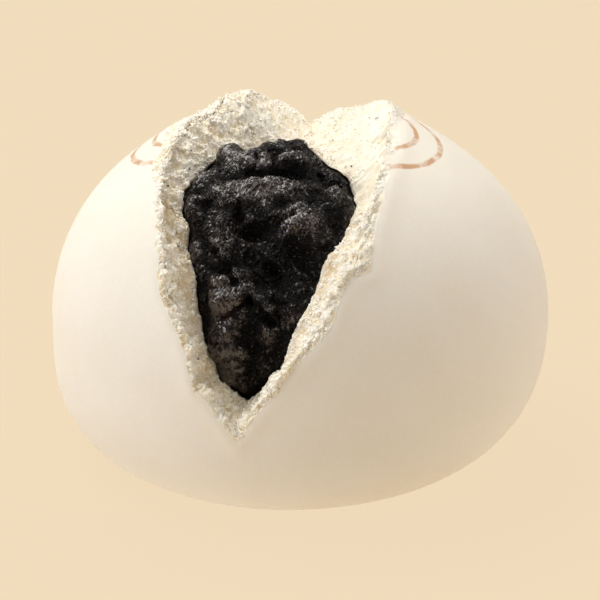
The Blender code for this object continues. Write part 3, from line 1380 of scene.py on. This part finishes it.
def grain_group() -> NodeTree:
    """Height of crowded rounded grains of the given size, with finer noise on them.

    Returns:
        The group.
    """
    nodes, given = new_group("grain", {"Place": (0.0, 0.0, 0.0), "Size": 0.0005}, "Height")
    get = given.outputs
    scale = nodes.math("DIVIDE", 1.0, get["Size"])
    values = {"Vector": get["Place"], "Scale": scale, "Smoothness": 0.35}
    cells = nodes.add("TexVoronoi", values, feature="SMOOTH_F1")
    noise = nodes.add("TexNoise", {"Vector": get["Place"], "Scale": scale, "Detail": 4.0})
    grains = nodes.math("SUBTRACT", 1.0, cells.outputs["Distance"])
    fine = nodes.math("MULTIPLY", noise.outputs[0], 0.9)
    height = nodes.math("ADD", grains, fine)
    return end_group(nodes, nodes.math("MULTIPLY", height, get["Size"]))


def ring_group() -> NodeTree:
    """Two rings round a centre: soft strokes that waver and fade in places.

    Returns:
        The group.
    """
    values = {"Place": (0.0, 0.0, 0.0), "Centre": (0.0, 0.0, 0.0)}
    values |= {"Radius": 0.008, "Inner Radius": 0.004, "Stroke": 0.0006}
    nodes, given = new_group("ring_mark", values, "Mask")
    get = given.outputs
    waver = nodes.add("TexNoise", {"Vector": get["Place"], "Scale": 420.0, "Detail": 2.0})
    middle = {0: waver.outputs["Color"], 1: (0.5, 0.5, 0.5)}
    centred = nodes.add("VectorMath", middle, operation="SUBTRACT")
    scaled = {0: centred.outputs[0], "Scale": 0.0007}
    shift = nodes.add("VectorMath", scaled, operation="SCALE")
    moved = nodes.add("VectorMath", {0: get["Place"], 1: shift.outputs[0]}, operation="ADD")
    far = nodes.add("VectorMath", {0: moved.outputs[0], 1: get["Centre"]}, operation="DISTANCE")
    strokes = []
    for radius in (get["Radius"], get["Inner Radius"]):
        off = nodes.math("ABSOLUTE", nodes.math("SUBTRACT", far.outputs["Value"], radius))
        within = nodes.math("SUBTRACT", 1.0, nodes.math("DIVIDE", off, get["Stroke"]))
        strokes.append(nodes.ranged(within, 0.3, 0.7, soft=True))
    both = nodes.math("MAXIMUM", *strokes)
    fade = nodes.add("TexNoise", {"Vector": get["Place"], "Scale": 330.0, "Detail": 3.0})
    strength = nodes.ranged(fade.outputs[0], 0.36, 0.56, to_low=0.25)
    return end_group(nodes, nodes.math("MULTIPLY", both, strength))


def new_material(name: str) -> tuple[Material, Nodes, Node]:
    """Start a material.

    Args:
        name: Name of the material.

    Returns:
        The material, its nodes and its Principled shader.
    """
    material = bpy.data.materials.new(name)
    material.use_nodes = True
    return material, Nodes(material.node_tree), material.node_tree.nodes["Principled BSDF"]


@dataclass(frozen=True)
class Groups:
    """Shared node groups."""

    mottle: NodeTree
    speckle: NodeTree
    grain: NodeTree
    ring: NodeTree

    def clouds(
        self, nodes: Nodes, size: float, low: float = 0.0, high: float = 1.0
    ) -> NodeSocket:
        """Cloudy variation over the piece, from low to high."""
        values = {"Place": nodes.place(), "Size": size, "Low": low, "High": high}
        return nodes.group(self.mottle, values)

    def dots(self, nodes: Nodes, spacing: float, dot: float, share: float) -> NodeSocket:
        """Small soft dots over the piece, in a share of the cells."""
        values = {"Place": nodes.place(), "Spacing": spacing, "Dot": dot, "Share": share}
        return nodes.group(self.speckle, values)

    def grains(self, nodes: Nodes, size: float) -> NodeSocket:
        """Height of crowded grains over the piece."""
        return nodes.group(self.grain, {"Place": nodes.place(), "Size": size})


class RingHalf(NamedTuple):
    """Half of the browned mark: its centre on the skin, outer and inner radius."""

    centre: tuple[float, float, float]
    radius: float
    inner_radius: float


@dataclass(frozen=True)
class DoughFinish:
    """Steamed dough: ivory skin, pale pitted crumb and the browned ring mark.

    Attributes:
        skin: Colour of the skin.
        skin_shade: Its slightly deeper clouds.
        dot: Tiny dark dots in the skin.
        crumb_top: Colour of the crumb's high places.
        crumb_pit_shade: Painted shade of its pits, a darker and warmer colour than the high
            places.
        stain_and_shade_colour: Colour of the crumb that the paste has stained, with painted
            shade low in the wall.
        brown: Colour of the mark.
        halves: Both halves of the mark.
        stroke: Width of the mark's strokes.
        dot_strength: How far the dots hide the skin.
        brown_strength: How far the mark hides it.
        softness: Share of the light that wanders below the surface of the bun.
        torn_roughness: Least roughness of the crumb.
        pore_depth: Share of their true height that the fine pores have.
        crumb_depth: Share of their true height that the tiny crumbs have.
    """

    skin: Colour = (0.93, 0.885, 0.80)
    skin_shade: Colour = (0.90, 0.845, 0.745)
    dot: Colour = (0.42, 0.33, 0.24)
    crumb_top: Colour = (0.99, 0.945, 0.84)
    crumb_pit_shade: Colour = (0.94, 0.80, 0.55)
    stain_and_shade_colour: Colour = (0.76, 0.56, 0.30)
    brown: Colour = (0.60, 0.33, 0.155)
    halves: tuple[RingHalf, ...] = (
        RingHalf((0.0105, -0.0045, 0.0620), 0.0146, 0.0100),
        RingHalf((-0.0165, 0.0010, 0.0610), 0.0146, 0.0100),
    )
    stroke: float = 0.0010
    dot_strength: float = 0.5
    brown_strength: float = 0.92
    softness: float = 0.25
    torn_roughness: float = 0.85
    pore_depth: float = 0.022
    crumb_depth: float = 0.15

    def material(self, name: str, groups: Groups, soft: float) -> Material:
        """Build the finish; the attributes "crumb" and "height" tell where it is torn.

        Args:
            name: Name of the material.
            groups: Shared node groups.
            soft: Share of the light that wanders below the surface.

        Returns:
            The material.
        """
        material, nodes, shader = new_material(name)
        torn = nodes.mark("crumb")
        whole = nodes.ranged(torn, 0.05, 0.3, 1.0, 0.0)
        skin, crumb = self.skin_colour(nodes, groups, whole), self.crumb_colour(nodes, groups)
        satin = groups.clouds(nodes, size=0.003, low=0.46, high=0.58)
        rough = nodes.math("MULTIPLY", torn, self.torn_roughness)
        pores = nodes.math("MULTIPLY", groups.grains(nodes, size=0.0006), self.pore_depth)
        crumbs = nodes.math("MULTIPLY", groups.grains(nodes, size=0.00035), self.crumb_depth)
        height = nodes.math("ADD", pores, nodes.math("MULTIPLY", crumbs, torn))
        bump = nodes.add("Bump", {"Strength": 1.0, "Distance": 1.0, "Height": height})
        nodes.fill(shader, {
            "Base Color": nodes.mixed(torn, skin, crumb),
            "Roughness": nodes.math("MAXIMUM", rough, satin),
            "Specular IOR Level": 0.35,
            "Sheen Weight": 0.2,
            "Sheen Roughness": 0.5,
            "Sheen Tint": (1.0, 0.93, 0.82, 1.0),
            "Subsurface Weight": soft,
            "Subsurface Radius": (1.0, 0.8, 0.55),
            "Subsurface Scale": 0.001,
            "Normal": bump.outputs[0],
        })
        return material

    def skin_colour(self, nodes: Nodes, groups: Groups, whole: NodeSocket) -> NodeSocket:
        """Colour of the skin: slow and fine clouds, tiny dots and the ring mark.

        Args:
            nodes: The material's nodes.
            groups: Shared node groups.
            whole: 1 on whole skin and 0 where it is torn.

        Returns:
            The colour's socket.
        """
        slow = nodes.math("MULTIPLY", groups.clouds(nodes, size=0.009), 0.6)
        fine = nodes.math("MULTIPLY", groups.clouds(nodes, size=0.0007), 0.4)
        skin = nodes.mixed(nodes.math("ADD", slow, fine), self.skin, self.skin_shade)
        dots = groups.dots(nodes, spacing=0.0065, dot=0.00028, share=0.35)
        dots = nodes.math("MULTIPLY", dots, self.dot_strength)
        skin = nodes.mixed(nodes.math("MULTIPLY", dots, whole), skin, self.dot)
        for half in self.halves:
            stroke = nodes.group(groups.ring, {
                "Place": nodes.place(),
                "Centre": half.centre,
                "Radius": half.radius,
                "Inner Radius": half.inner_radius,
                "Stroke": self.stroke,
            })
            brown = nodes.math("MULTIPLY", stroke, self.brown_strength)
            skin = nodes.mixed(nodes.math("MULTIPLY", brown, whole), skin, self.brown)
        return skin

    def crumb_colour(self, nodes: Nodes, groups: Groups) -> NodeSocket:
        """Colour of the crumb: painted shade in its pits, warm and sandy clouds, and the
        paste's stain with painted shade.

        Args:
            nodes: The material's nodes.
            groups: Shared node groups.

        Returns:
            The colour's socket.
        """
        warm = groups.clouds(nodes, size=0.0036, low=-0.6, high=0.6)
        sandy = groups.clouds(nodes, size=0.0005, low=-0.45, high=0.45)
        level = nodes.math("ADD", nodes.math("ADD", nodes.mark("height"), warm), sandy)
        # Painted shade: the low places of the crumb take the darker, warmer pit colour.
        crumb = nodes.mixed(nodes.ranged(level, -1.0, 0.5), self.crumb_pit_shade, self.crumb_top)
        # Paste's stain with painted shade: tan patches that grow down the wall towards the
        # paste.
        patches = groups.clouds(nodes, size=0.002, low=0.1, high=0.8)
        stain_and_shade_mask = nodes.math("MULTIPLY", nodes.mark("stain_and_shade_mask"), patches)
        return nodes.mixed(stain_and_shade_mask, crumb, self.stain_and_shade_colour)


@dataclass(frozen=True)
class PasteFinish:
    """Moist dark bean paste with a fine broken grain.

    Attributes:
        crease_shade: Painted shade in the creases and low places, near black.
        raised: Colour of the skin of the beans on top.
        fleck: Small paler bits of bean.
        fleck_strength: How far they hide the paste.
        clump_depth: Height of the coarse grain, in grains.
        grain_depth: Height of the fine grain, in grains.
    """

    crease_shade: Colour = (0.0016, 0.0007, 0.0005)
    raised: Colour = (0.025, 0.0105, 0.0066)
    fleck: Colour = (0.18, 0.115, 0.084)
    fleck_strength: float = 0.5
    clump_depth: float = 0.6
    grain_depth: float = 1.5

    def material(self, groups: Groups) -> Material:
        """Build the finish from mottled colour with painted shade in the creases, uneven gloss
        and grain.

        Args:
            groups: Shared node groups.

        Returns:
            The material.
        """
        material, nodes, shader = new_material("bean_paste")
        clouds = groups.clouds(nodes, size=0.0009, low=-0.45, high=0.45)
        level = nodes.math("ADD", nodes.mark("height"), clouds)
        # Painted shade: the creases and low places take the near-black colour.
        colour = nodes.mixed(nodes.ranged(level, -0.7, 0.7), self.crease_shade, self.raised)
        flecks = groups.dots(nodes, spacing=0.0009, dot=0.00026, share=0.35)
        flecks = nodes.math("MULTIPLY", flecks, self.fleck_strength)
        glints = groups.clouds(nodes, size=0.0005, low=-0.6, high=0.6)
        gloss = nodes.math("MULTIPLY_ADD", level, 0.7, glints)
        coarse = nodes.math("MULTIPLY", groups.grains(nodes, size=0.0007), self.clump_depth)
        fine = nodes.math("MULTIPLY", groups.grains(nodes, size=0.00028), self.grain_depth)
        height = nodes.math("ADD", coarse, fine)
        bump = nodes.add("Bump", {"Strength": 1.0, "Distance": 1.0, "Height": height})
        nodes.fill(shader, {
            "Base Color": nodes.mixed(flecks, colour, self.fleck),
            "Roughness": nodes.ranged(level, -0.8, 0.1, 0.5, 0.17),
            "Coat Weight": nodes.ranged(gloss, -0.3, 0.45),
            "Coat Roughness": 0.2,
            "Coat IOR": 1.75,
            "Specular IOR Level": 0.2,
            "Normal": bump.outputs[0],
        })
        return material


# --- studio


@dataclass(frozen=True)
class SoftLight:
    """Large square lamp aimed at the bun.

    Attributes:
        name: Name of the lamp.
        azimuth: Side it stands on, from the front round to the right.
        elevation: Height of its direction above the horizon.
        power: Its power in watts.
        colour: Its colour.
        side: Length of its sides.
        distance: How far it stands from the bun.
    """

    name: str
    azimuth: float
    elevation: float
    power: float
    colour: Colour
    side: float = 0.5
    distance: float = 0.8

    def place(self, aim: Vector) -> Object:
        """Set the lamp up at its distance from a point, facing it.

        Args:
            aim: Point that it lights.

        Returns:
            The lamp.
        """
        lamp = bpy.data.lights.new(self.name, "AREA")
        lamp.size, lamp.energy, lamp.color = self.side, self.power, self.colour
        turn, rise = math.radians(self.azimuth), math.radians(self.elevation)
        flat = math.cos(rise)
        way = Vector((math.sin(turn) * flat, -math.cos(turn) * flat, math.sin(rise)))
        stand = bpy.data.objects.new(self.name, lamp)
        stand.location = aim + way * self.distance
        stand.rotation_euler = (-way).to_track_quat("-Z", "Y").to_euler()
        bpy.context.scene.collection.objects.link(stand)
        return stand


@dataclass
class Studio:
    """Plain warm floor, matching backdrop, soft lamps and the camera.

    Attributes:
        backdrop: Colour of floor and backdrop as the camera sees them.
        floor_side: Length of the floor's sides.
        bounce: Strength of the light that the floor throws up.
        bounce_colour: Colour of that light.
        ambient: Strength of the light all round.
        ambient_colour: Colour of that light.
        shade: Share of the floor that takes shadow.
        camera_height: Height of the point that the camera aims at.
        camera_distance: Its distance from that point.
        camera_elevation: Its angle above the horizon.
        focal_length: Lens, in millimetres on a 36 mm wide film.
        lamps: The soft lamps.
    """

    backdrop: Colour = (0.871, 0.716, 0.503)
    floor_side: float = 8.0
    bounce: float = 1.0
    bounce_colour: Colour = (0.86, 0.70, 0.505)
    ambient: float = 0.06
    ambient_colour: Colour = (1.0, 0.97, 0.93)
    shade: float = 0.06
    camera_height: float = 0.0269
    camera_distance: float = 0.3040
    camera_elevation: float = 22.0
    focal_length: float = 100.0
    lamps: tuple[SoftLight, ...] = (
        SoftLight("key_left", -62.0, -5.0, 4.6, (0.83, 0.89, 1.0)),
        SoftLight("side_left", -90.0, -5.0, 1.4, (0.83, 0.89, 1.0)),
        SoftLight("front_high", 25.0, 55.0, 1.1, (1.0, 0.96, 0.91)),
        SoftLight("side_right", 90.0, 25.0, 2.1, (1.0, 0.95, 0.93)),
        SoftLight("top_left", -90.0, 60.0, 3.5, (1.0, 0.97, 0.91)),
        SoftLight("back_left", -155.0, 55.0, 2.9, (1.0, 0.97, 0.91)),
        SoftLight("back_right", 155.0, 55.0, 1.1, (1.0, 0.98, 0.92)),
    )

    def floor(self) -> Object:
        """Lay the floor: it glows in the backdrop's colour and takes a faint shadow.

        Returns:
            The floor.
        """
        half = self.floor_side / 2.0
        corners = [(x * half, y * half, 0.0) for x, y in ((-1, -1), (1, -1), (1, 1), (-1, 1))]
        material, nodes, shader = new_material("pale_floor")
        base = (*self.backdrop, 1.0)
        nodes.fill(shader, {"Base Color": base, "Roughness": 0.9, "Specular IOR Level": 0.0})
        seen = nodes.add("LightPath").outputs["Is Camera Ray"]
        strength = nodes.ranged(seen, 0.0, 1.0, to_low=self.bounce)
        colour = nodes.mixed(seen, self.bounce_colour, self.backdrop)
        glow = nodes.add("Emission", {"Color": colour, "Strength": strength})
        mix = nodes.add("MixShader", {0: self.shade, 1: glow.outputs[0], 2: shader.outputs[0]})
        out = material.node_tree.nodes["Material Output"]
        nodes.put(out.inputs["Surface"], mix.outputs[0])
        return make_piece("floor", np.array(corners), [[0, 1, 2, 3]], material)

    def air(self) -> None:
        """Fill the world with the backdrop's colour and a weaker even light."""
        world = bpy.data.worlds.new("studio_air")
        world.use_nodes = True
        nodes = Nodes(world.node_tree)
        seen = nodes.add("LightPath").outputs["Is Camera Ray"]
        sky = world.node_tree.nodes["Background"]
        nodes.fill(sky, {
            "Strength": nodes.ranged(seen, 0.0, 1.0, to_low=self.ambient),
            "Color": nodes.mixed(seen, self.ambient_colour, self.backdrop),
        })
        bpy.context.scene.world = world

    def camera(self) -> Object:
        """Aim the camera from the front, a little above the bun.

        Returns:
            The camera.
        """
        rise = math.radians(self.camera_elevation)
        way = Vector((0.0, math.cos(rise), -math.sin(rise)))
        lens = bpy.data.cameras.new("camera")
        lens.sensor_width = 36.0
        lens.lens = self.focal_length
        lens.clip_start = 0.01
        stand = bpy.data.objects.new("camera", lens)
        stand.location = Vector((0.0, 0.0, self.camera_height)) - way * self.camera_distance
        stand.rotation_euler = way.to_track_quat("-Z", "Y").to_euler()
        bpy.context.scene.collection.objects.link(stand)
        bpy.context.scene.camera = stand
        return stand

    def build(self) -> None:
        """Set up floor, air, lamps and camera, and log what stands there."""
        self.floor()
        self.air()
        for lamp in self.lamps:
            log.info("lamp %s", lamp.place(Vector((0.0, 0.0, self.camera_height))).name)
        log.info("camera %s", self.camera().name)
        bpy.context.scene.view_settings.view_transform = "Standard"


# --- assembly


def attach(piece: Object, node: str | None = None) -> None:
    """Let a piece ride on the bun, and hide the solid that it stands in for.

    Args:
        piece: The piece.
        node: Name of the solid that it replaces, if any.
    """
    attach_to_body(piece, BODY)
    if node:
        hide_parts(node)
    log.info("%s: %d faces", piece.name, len(piece.data.polygons))


@dataclass
class CrumbScatter:
    """Loose crumbs on the torn face and small bits of paste on the crumb.

    Attributes:
        clumps: Larger crumbs.
        grains: Fine crumbs.
        smears: Bits of paste on the crumb.
        calm_clumps: Share of the clumps left on the evenly torn right.
        calm_grains: Share of the grains left there.
        rim_grains: Extra weight of the grains along the paste.
        smear_reach: Share of the way out that the bits of paste reach.
        rim_reach: Share of the way out that counts as along the paste.
    """

    clumps: LooseBits = LooseBits(
        "crumb_clumps", 2000, (0.00022, 0.00050), 5, 6, 0.40, (-0.6, 0.0), 51
    )
    grains: LooseBits = LooseBits(
        "crumb_grains", 9600, (0.00011, 0.00027), 4, 5, 0.40, (-0.6, 0.1), 52
    )
    smears: LooseBits = LooseBits(
        "paste_bits", 24, (0.00010, 0.00024), 4, 5, 0.25, (-0.1, 0.3), 53
    )
    calm_clumps: float = 0.06
    calm_grains: float = 0.12
    rim_grains: float = 4.0
    smear_reach: float = 0.22
    rim_reach: float = 0.06

    def build(
        self, face: TornFace, right: Array, dough: Material, paste: Material
    ) -> None:
        """Scatter all bits over the torn face.

        Args:
            face: Torn face of the dough.
            right: 0 on the left of the tear and 1 on the evenly torn right.
            dough: Finish of the crumbs.
            paste: Finish of the paste bits.
        """
        rows = np.linspace(0.0, 1.0, face.grid.shape[0])[:, None] + np.zeros_like(right)
        near_paste = smooth_step(1.0 - rows / self.smear_reach)
        at_rim = smooth_step(1.0 - rows / self.rim_reach)
        clumped = blend(1.0, self.calm_clumps, right) * (face.amount + at_rim)
        grained = blend(1.0, self.calm_grains, right) + self.rim_grains * at_rim
        plans = (
            (self.clumps, clumped, dough, Slot.DOUGH),
            (self.grains, grained, dough, Slot.DOUGH),
            (self.smears, near_paste, paste, Slot.BEAN_PASTE),
        )
        places, normals = face.grid.reshape(-1, 3), face.normals.reshape(-1, 3)
        for bits, weight, material, slot in plans:
            picked = face.draw(bits.count, weight, np.random.default_rng(bits.seed + 100))
            attach(bits.scatter(places[picked], normals[picked], material))


def main() -> None:
    """Build the bun's pieces in order, then the studio."""
    logging.basicConfig(level=logging.INFO, format="%(name)s: %(message)s")
    groups = Groups(mottle_group(), speckle_group(), grain_group(), ring_group())
    look = DoughFinish()
    dough_finish = look.material("steamed_dough", groups, look.softness)
    loose_finish = look.material("loose_crumb", groups, 0.0)
    paste_finish = PasteFinish().material(groups)

    body = BunBody()
    core = PasteCore(body)
    dough = Dough(body, core)
    piece, face = dough.build(dough_finish)
    attach(piece, "dough")
    attach(BeanPaste(core).build(paste_finish), "bean_paste")
    CrumbScatter().build(face, dough.right_side(face.spot), loose_finish, paste_finish)
    Studio().build()


if __name__ == "__main__":
    main()
